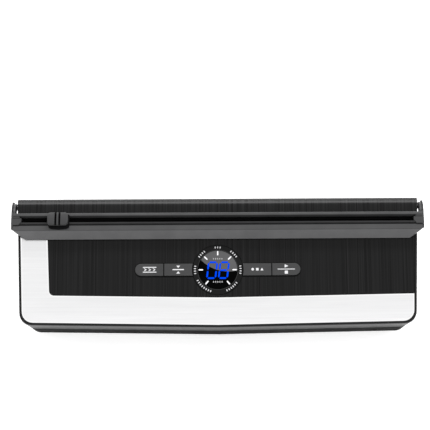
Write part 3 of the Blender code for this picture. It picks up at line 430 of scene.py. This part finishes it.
def rail_rule(centre, normal):
    """Black inside the slot, and a darker grey on the slopes beside it and on the front rail: painted shade.
    """
    slot_y, slot_top_z = (0.0325, 0.0408), 0.0772
    front_wall_y = (0.0341, 0.0347)
    rear_slope_y, rear_slope_top_z = (0.0394, 0.0409), 0.0796
    front_rail_y = (0.0310, 0.0345)
    flange_y = 0.0265
    in_slot = within(centre.y, slot_y) and centre.z < slot_top_z
    on_front_wall = within(centre.y, front_wall_y) and normal.y > SQUARE_ON
    if in_slot or on_front_wall:
        return "slot"
    on_rear_slope = within(centre.y, rear_slope_y) and centre.z < rear_slope_top_z
    on_front_rail = within(centre.y, front_rail_y) and centre.z > slot_top_z
    if on_rear_slope or on_front_rail:
        return "slope"
    # Faces that slope to the front get the lighter copy of the grey: painted light
    slopes_to_front = normal.y < -0.5 and normal.z > FACES_UP
    return "flange" if slopes_to_front and centre.y < flange_y else "grey"


def arm_rule(centre, normal):
    """The groove behind the slot's plug is black and the arm's outer edge dark, both painted shade; the plug
    is like the knob.
    """
    groove_y, groove_end_x = (0.0382, 0.0391), 0.1942
    edge_y, edge_x = 0.0445, 0.1946
    plug_y, plug_z, plug_end_x = 0.0384, 0.0795, 0.1945
    out = abs(centre.x)
    if within(centre.y, groove_y) and out < groove_end_x:
        return "slot"
    if centre.y > edge_y and out > edge_x and normal.z > 0.1:
        return "slope"
    return "knob" if centre.z > plug_z and centre.y < plug_y and out < plug_end_x else "grey"


def knob_rule(centre, normal):
    """The grip grooves are black down to their floors: painted shade."""
    groove_x = (0.0009, 0.0028)
    above_z, floor_z = 0.0816, 0.0820
    in_groove = within(abs(centre.x - KNOB_X), groove_x) and centre.z > above_z
    return "slot" if in_groove and (abs(normal.x) > SQUARE_ON or centre.z < floor_z) else "knob"


# node: (materials beside the main one, rule)
RULES = {
    "lid_shell": (("wrap", "matte", "crest"), lid_rule),
    "cutter_rail": (("slot", "slope", "flange"), rail_rule),
    "cutter_arm_left": (("slot", "slope", "knob"), arm_rule),
    "cutter_arm_right": (("slot", "slope", "knob"), arm_rule),
    "slider_knob": (("slot",), knob_rule),
}


def add_object(name, mesh):
    piece = bpy.data.objects.new(name, mesh)
    bpy.context.scene.collection.objects.link(piece)
    return piece


def mesh_of(name, bm, *materials):
    """Turns a bmesh into a mesh with these materials."""
    mesh = bpy.data.meshes.new(name)
    bm.to_mesh(mesh)
    bm.free()
    for material in materials:
        mesh.materials.append(MATS[material])
    return mesh


def join_rings(bm, rings):
    """Walls from each ring of verts to the next one."""
    for a, b in zip(rings, rings[1:]):
        for i in range(len(a)):
            j = (i + 1) % len(a)
            bm.faces.new((a[i], a[j], b[j], b[i]))


def stand_in(node, bm, materials):
    """Makes an object of a finer mesh that rides on the CAD node's body and stands for it."""
    source = NODES[node]
    mesh = mesh_of(node + "_fine", bm, *materials)
    mesh.shade_smooth()
    mesh.set_sharp_from_angle(angle=SHARP_ANGLE)
    piece = add_object(node + "_fine", mesh)
    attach(piece, source["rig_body"])
    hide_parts(node)
    return piece


def clean_copy(node):
    """The CAD node's mesh with its Boolean leftovers dissolved."""
    merge_distance, flat_angle = 0.000004, math.radians(0.6)
    bm = bmesh.new()
    bm.from_mesh(NODES[node].data)
    bmesh.ops.remove_doubles(bm, verts=bm.verts, dist=merge_distance)
    bmesh.ops.dissolve_limit(bm, angle_limit=flat_angle, verts=bm.verts, edges=bm.edges, delimit={"NORMAL"})
    for face in bm.faces:
        face.material_index = 0
    return bm


def refine(node, material, radius, segments):
    """A cleaned copy of a CAD node with rounded edges; it stands for the node."""
    bm = clean_copy(node)
    others, rule = RULES.get(node, ((), None))
    names = (material, *others)
    if node == "lid_shell":
        # The top is cut where its finish changes
        parts = bm.verts[:] + bm.edges[:] + bm.faces[:]
        bmesh.ops.bisect_plane(bm, geom=parts, plane_co=(0, WRAP_Y, 0), plane_no=(0, 1, 0))
    if rule:
        for face in bm.faces:
            face.material_index = names.index(rule(face.calc_center_median(), face.normal))
    # A face that bends round a hole is split, because a bevelled one would cover the hole
    bmesh.ops.connect_verts_concave(bm, faces=bm.faces)
    piece = stand_in(node, bm, names)
    bevel = piece.modifiers.new("edges", "BEVEL")
    bevel.width = radius * MM
    bevel.segments = segments
    bevel.limit_method = "ANGLE"
    bevel.angle_limit = SHARP_ANGLE
    bevel.use_clamp_overlap = True
    bevel.miter_outer = "MITER_ARC"


def trim_plate():
    """The steel plate with a bright bevel along its edges."""
    bevel_width, bevel_drop = 1.15 * MM, 0.16 * MM
    bm = clean_copy("steel_trim")
    up = Vector((0.0, -math.sin(LID_TILT), math.cos(LID_TILT)))
    tops = [face for face in bm.faces if face.normal.dot(up) > 0.99]
    outer = {vert for face in tops for vert in face.verts}
    ring = bmesh.ops.inset_region(bm, faces=tops, thickness=bevel_width, use_even_offset=True)["faces"]
    for face in ring:
        face.material_index = 1
    for vert in outer:
        vert.co -= up * bevel_drop
    stand_in("steel_trim", bm, ("steel", "edge"))


def carry(node, material):
    """Gives a CAD node that keeps its own mesh its look."""
    mesh = NODES[node].data
    mesh.materials.clear()
    mesh.materials.append(MATS[material])


def return_spring(side):
    """Coil spring behind a release button, from the shell to the button: a smooth copy of the CAD node's mesh
    in turned steel.
    """
    node = "release_spring_" + side
    mesh = NODES[node].data.copy()
    mesh.name = node + "_fine"
    mesh.materials.clear()
    mesh.materials.append(MATS["pin"])
    mesh.shade_smooth()
    piece = add_object(node + "_fine", mesh)
    piece.matrix_world = NODES[node].matrix_world.copy()
    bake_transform(piece)
    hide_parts(node)


def shadow_foot_outline(x0, x1, front, rear, grow):
    """A box with round corners and a bulging front edge, in mm, anticlockwise; grow moves it outwards."""
    rear_r, front_r, bulge = 1.0, 2.6, 0.8
    corner_steps, front_steps = 6, 12
    corners = ((x1 - rear_r, rear - rear_r, rear_r), (x0 + rear_r, rear - rear_r, rear_r),
               (x0 + front_r, front + front_r, front_r), (x1 - front_r, front + front_r, front_r))
    points = []
    for quarter, (x, y, r) in enumerate(corners):
        if quarter == 3:
            straight = x1 - x0 - 2 * front_r
            for i in range(1, front_steps):
                share = i / front_steps
                swell = bulge * math.sin(math.pi * share)
                points.append((x0 + front_r + straight * share, front - grow - swell))
        for i in range(corner_steps + 1):
            t = math.radians(90 * quarter + 90 * i / corner_steps)
            points.append((x + (r + grow) * math.cos(t), y + (r + grow) * math.sin(t)))
    return points


def slider_shadow_foot():
    """Black glide under the knob; the dark lip it shows in front of the knob is a painted shadow of the knob.
    """
    low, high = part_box("slider_knob")
    x0, x1 = low[0] / MM + 1.2, high[0] / MM + 0.9
    front, rear = low[1] / MM - 2.5, high[1] / MM - 1.5
    # How far the outline is moved out at each height, from the bottom up
    levels = ((0.0, 79.0), (0.25, 79.3), (0.25, 80.1), (0.0, 80.35))
    bm = bmesh.new()
    rings = []
    for grow, z in levels:
        outline = shadow_foot_outline(x0, x1, front, rear, grow)
        rings.append([bm.verts.new(Vector((x, y, z)) * MM) for x, y in outline])
    join_rings(bm, rings)
    bm.faces.new(list(reversed(rings[0])))
    bm.faces.new(rings[-1])
    # A black plate in painted-shade black: a painted shadow in front of the knob
    mesh = mesh_of("slider_shadow_foot", bm, "slot")
    mesh.shade_smooth()
    mesh.set_sharp_from_angle(angle=math.radians(40))
    foot = add_object("slider_shadow_foot", mesh)
    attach(foot, "cutter_slider")


# ---------------------------------------------------------------- marks on the lid


def on_panel(name, mesh):
    """An object whose X, Y and Z are the slope's x, s and height."""
    obj = add_object(name, mesh)
    obj.matrix_world = Matrix.Translation(LID_FRONT) @ Matrix.Rotation(LID_TILT, 4, "X")
    return obj


def plate(name, outlines, heights, material, body):
    """Thin closed plates on the lid's slope, from outlines of (x, s) in mm."""
    bm = bmesh.new()
    for outline in outlines:
        area = sum(a[0] * b[1] - b[0] * a[1] for a, b in zip(outline, outline[1:] + outline[:1]))
        points = outline if area > 0 else list(reversed(outline))
        bottom, top = ([bm.verts.new((x * MM, s * MM, z * MM)) for x, s in points] for z in heights)
        bm.faces.new(top)
        bm.faces.new(list(reversed(bottom)))
        join_rings(bm, (bottom, top))
    obj = on_panel(name, mesh_of(name, bm, material))
    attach(obj, body)


def bezel_ring():
    """A thin grey ring round the display's window."""
    inner, outer, steps = 18.85, 19.35, 64
    low, high = RING_HEIGHTS
    turns = [2 * math.pi * i / steps for i in range(steps)]
    bm = bmesh.new()
    rings = []
    for r, z in ((inner, low), (outer, low), (outer, high), (inner, high)):
        circle = [(r * math.cos(t), DISPLAY_S + r * math.sin(t), z) for t in turns]
        rings.append([bm.verts.new(Vector(p) * MM) for p in circle])
    join_rings(bm, rings + rings[:1])
    bmesh.ops.recalc_face_normals(bm, faces=bm.faces)
    obj = on_panel("bezel_ring", mesh_of("bezel_ring", bm, "ring"))
    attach(obj, "lid")


def bar(cx, cs, length, width, angle=0.0, round_steps=3):
    """A bar with rounded ends, as an outline."""
    r = width / 2
    half = length / 2 - r
    ends = []
    for sign, start in ((1, -90), (-1, 90)):
        for i in range(round_steps + 1):
            t = math.radians(start + 180 * i / round_steps)
            ends.append((sign * half + r * math.cos(t), r * math.sin(t)))
    c, d = math.cos(angle), math.sin(angle)
    return [(cx + x * c - y * d, cs + x * d + y * c) for x, y in ends]


def polygon(cx, cs, points):
    """The points moved to cx, cs."""
    return [(cx + x, cs + y) for x, y in points]


def disc(cx, cs, r, steps=20):
    """A round outline."""
    return [(cx + r * math.cos(2 * math.pi * i / steps), cs + r * math.sin(2 * math.pi * i / steps))
            for i in range(steps)]


def segments(cx, cs, lit):
    """One slanted seven-segment digit as hexagonal bars."""
    half_w, half_h, thick, slant, gap = 4.0, 7.6, 1.65, 0.12, 0.55
    ends = {
        "a": ((-half_w, half_h), (half_w, half_h)),
        "b": ((half_w, 0), (half_w, half_h)),
        "c": ((half_w, -half_h), (half_w, 0)),
        "d": ((-half_w, -half_h), (half_w, -half_h)),
        "e": ((-half_w, -half_h), (-half_w, 0)),
        "f": ((-half_w, 0), (-half_w, half_h)),
        "g": ((-half_w, 0), (half_w, 0)),
    }
    outlines = []
    for name in lit:
        a, b = (Vector(p) for p in ends[name])
        along = (b - a).normalized()
        across = Vector((-along.y, along.x)) * thick / 2
        a, b = a + along * gap, b - along * gap
        tip = along * thick / 2
        points = [a, a + tip - across, b - tip - across, b, b - tip + across, a + tip + across]
        outlines.append([(cx + p.x + slant * p.y, cs + p.y) for p in points])
    return outlines


def spokes(radius, directions, length, width):
    """Bars round the display's middle that point away from it; directions are in degrees."""
    bars = []
    for degrees in directions:
        t = math.radians(degrees)
        bars.append(bar(radius * math.cos(t), DISPLAY_S + radius * math.sin(t), length, width, t, 2))
    return bars


def sky():
    """Outline of the display's painted reflection: the part of the window above a wide arc."""
    arc_x, arc_s, arc_r, arc_steps = 10.0, DISPLAY_S + 33.3, 35.0, 24
    edge_r, edge_steps = WINDOW_R * 0.985, 240
    outline = []
    for i in range(edge_steps):
        t = 2 * math.pi * i / edge_steps - math.pi / 2
        x, s = edge_r * math.cos(t), DISPLAY_S + edge_r * math.sin(t)
        if math.hypot(x - arc_x, s - arc_s) < arc_r:
            outline.append((x, s))
    start, end = (math.atan2(s - arc_s, x - arc_x) for x, s in (outline[-1], outline[0]))
    for i in range(1, arc_steps):
        t = start + (end - start) * i / arc_steps
        outline.append((arc_x + arc_r * math.cos(t), arc_s + arc_r * math.sin(t)))
    return outline


def display_marks():
    """A tick and a group of strokes for each setting, and in the window the digits between two rows."""
    # Direction of each setting: number of its strokes, which are pitch apart; both in degrees
    strokes = {90: 3, 45: 4, 135: 4, 0: 4, 180: 4, -51: 6, -130: 8}
    pitch = 6.2
    plate("display_ticks", spokes(16.0, strokes, 4.6, 1.25), GLASS_HEIGHTS, "white", "lid")
    # A painted reflection of the sky on the window's glass
    plate("display_sky", [sky()], SKY_HEIGHTS, "sheen", "lid")
    digits = segments(-5.4, DISPLAY_S - 0.4, "abcdef") + segments(5.7, DISPLAY_S - 0.4, "abcdefg")
    plate("display_digits", digits, GLASS_HEIGHTS, "blue", "lid")
    rows = [bar(-4.0 + 2.0 * i, DISPLAY_S + off, height, 1.0, math.pi / 2, 2)
            for off, height in ((10.6, 1.6), (-11.6, 1.8)) for i in range(5)]
    plate("display_status", rows, STATUS_HEIGHTS, "faint", "lid")
    turns = [middle + (i - (count - 1) / 2) * pitch
             for middle, count in strokes.items() for i in range(count)]
    plate("bezel_marks", spokes(21.6, turns, 2.2, 1.0), BEZEL_HEIGHTS, "print", "lid")
    bezel_ring()


def key_shadow_lip(name, tip, inner):
    """Painted shadow: a black lip in front of a pair of keys, from inner out to tip, where it thins out round
    the end.
    """
    r, drop = KEY_R + 0.2, 0.95
    side = math.copysign(1.0, tip)
    middle = tip - side * KEY_R
    turns = [math.radians(8 * i) for i in range(12)]
    near = [(middle + side * r * math.sin(t), KEYS_S - r * math.cos(t)) for t in turns]
    far = [(x, s - drop) for x, s in reversed(near)]
    outline = [(inner, KEYS_S - r)] + near + far + [(inner, KEYS_S - r - drop)]
    plate(name, [outline], SHADOW_LIP_HEIGHTS, "slot", "lid")


def key_signs():
    """A hose with its flow, two jaws on a seam, three shapes, and a triangle and a square on a line."""
    s = KEYS_S
    x = -64.5
    chevron = [(-1.4, 1.3), (0.2, 0.0), (-1.4, -1.3), (-0.4, -1.3), (1.4, 0.0), (-0.4, 1.3)]
    hose = [bar(x, s + 2.3, 13.0, 0.8), bar(x, s - 2.3, 13.0, 0.8)]
    hose += [polygon(x + dx, s, chevron) for dx in (-4.2, 0.0, 4.2)]
    x = -37.4
    jaws = [bar(x, s, 11.0, 1.0), polygon(x, s + 2.6, [(-1.8, 1.2), (1.8, 1.2), (0.0, -1.0)]),
            polygon(x, s - 2.6, [(-1.8, -1.2), (0.0, 1.0), (1.8, -1.2)])]
    x = 37.4
    shapes = [disc(x - 4.4, s, 1.25), polygon(x, s, [(-1.2, -1.2), (1.2, -1.2), (1.2, 1.2), (-1.2, 1.2)]),
              polygon(x + 4.4, s, [(-1.4, -1.2), (1.4, -1.2), (0.0, 1.4)])]
    x = 64.8
    go_stop = [bar(x, s, 16.5, 0.7), polygon(x, s + 3.0, [(-1.5, -1.6), (2.0, 0.0), (-1.5, 1.6)]),
               polygon(x, s - 3.0, [(-1.5, -1.5), (1.5, -1.5), (1.5, 1.5), (-1.5, 1.5)])]
    signs = {"external_vacuum": hose, "seal": jaws, "mode": shapes, "start_stop": go_stop}
    for key, outlines in signs.items():
        plate("mark_" + key, outlines, SIGN_HEIGHTS, "sign", "key_" + key + "_cap")


# ---------------------------------------------------------------- stage


def studio():
    """A white world and a pale floor that glows a little, so that it is white up to the object."""
    world = bpy.data.worlds.new("studio")
    bpy.context.scene.world = world
    world.use_nodes = True
    back = world.node_tree.nodes["Background"]
    back.inputs["Color"].default_value = (1.0, 1.0, 1.0, 1.0)
    back.inputs["Strength"].default_value = 1.0
    half = 6.0
    corners = [(-half, -half, 0), (half, -half, 0), (half, half, 0), (-half, half, 0)]
    mesh = bpy.data.meshes.new("floor")
    mesh.from_pydata(corners, [], [(0, 1, 2, 3)])
    floor = add_object("floor", mesh)
    s = Shader("pale_floor", (0.93, 0.93, 0.93), 0.7, Specular_IOR_Level=0.2)
    shade = s.span(s.noise((30, 30, 30), 3.0), 0.0, 1.0)
    s.into(s.colour(shade, (0.92, 0.92, 0.92), (0.94, 0.94, 0.94)), "Base Color")
    s.bsdf.inputs["Emission Color"].default_value = (1.0, 1.0, 1.0, 1.0)
    s.bsdf.inputs["Emission Strength"].default_value = 0.42
    mesh.materials.append(s.material)


def area_light(name, place, target, size, power):
    """A rectangular light that points at target; metres and watts."""
    data = bpy.data.lights.new(name, "AREA")
    data.shape = "RECTANGLE"
    data.size, data.size_y = size
    data.energy = power
    light = bpy.data.objects.new(name, data)
    light.location = place
    light.rotation_euler = (Vector(target) - Vector(place)).to_track_quat("-Z", "Y").to_euler()
    bpy.context.scene.collection.objects.link(light)


def lights():
    area_light("front_fill", place=(0.0, -2.2, 1.0), target=(0, 0, 0.05), size=(2.4, 0.8), power=10.0)
    area_light("left_fill", place=(-2.2, 0.0, 1.2), target=(0, 0, 0.0), size=(1.6, 0.8), power=2.5)
    area_light("right_fill", place=(2.2, 0.0, 1.2), target=(0, 0, 0.0), size=(1.6, 0.8), power=6.5)
    area_light("rear_strip", place=(0.0, 1.62, 1.2), target=(0, 0.05, 0.06), size=(2.6, 0.3), power=40.0)


def camera():
    """Looks down on the lid from the front; aim_up leaves the object a little below the view's middle."""
    elevation = math.radians(72.0)
    target, distance = Vector((0.0, 0.0, 0.060)), 1.5
    data = bpy.data.cameras.new("camera")
    data.sensor_width = 36.0
    data.lens = 132.03
    data.clip_start = 0.05
    cam = bpy.data.objects.new("camera", data)
    place = target + Vector((0.0, -math.cos(elevation), math.sin(elevation))) * distance
    aim_up = math.radians(1.718)
    aim_left = math.radians(0.09)
    roll = math.radians(-0.31)
    turn = Matrix.Rotation(math.pi / 2 - elevation + aim_up, 4, "X")
    cam.matrix_world = (Matrix.Translation(place) @ turn @ Matrix.Rotation(aim_left, 4, "Y")
                        @ Matrix.Rotation(roll, 4, "Z"))
    bpy.context.scene.collection.objects.link(cam)
    bpy.context.scene.camera = cam


bpy.context.scene.view_settings.view_transform = "Standard"
camera()
studio()
lights()
for node, (material, radius, steps) in REFINED.items():
    refine(node, material, radius, steps)
for material, nodes in CARRIED.items():
    for node in nodes:
        carry(node, material)
trim_plate()
slider_shadow_foot()
return_spring("left")
return_spring("right")
display_marks()
key_signs()
# Painted shadows in front of the two key pairs
key_shadow_lip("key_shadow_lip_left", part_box("key_external_vacuum")[0][0] / MM, -23.0)
key_shadow_lip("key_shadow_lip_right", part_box("key_start_stop")[1][0] / MM, 23.0)
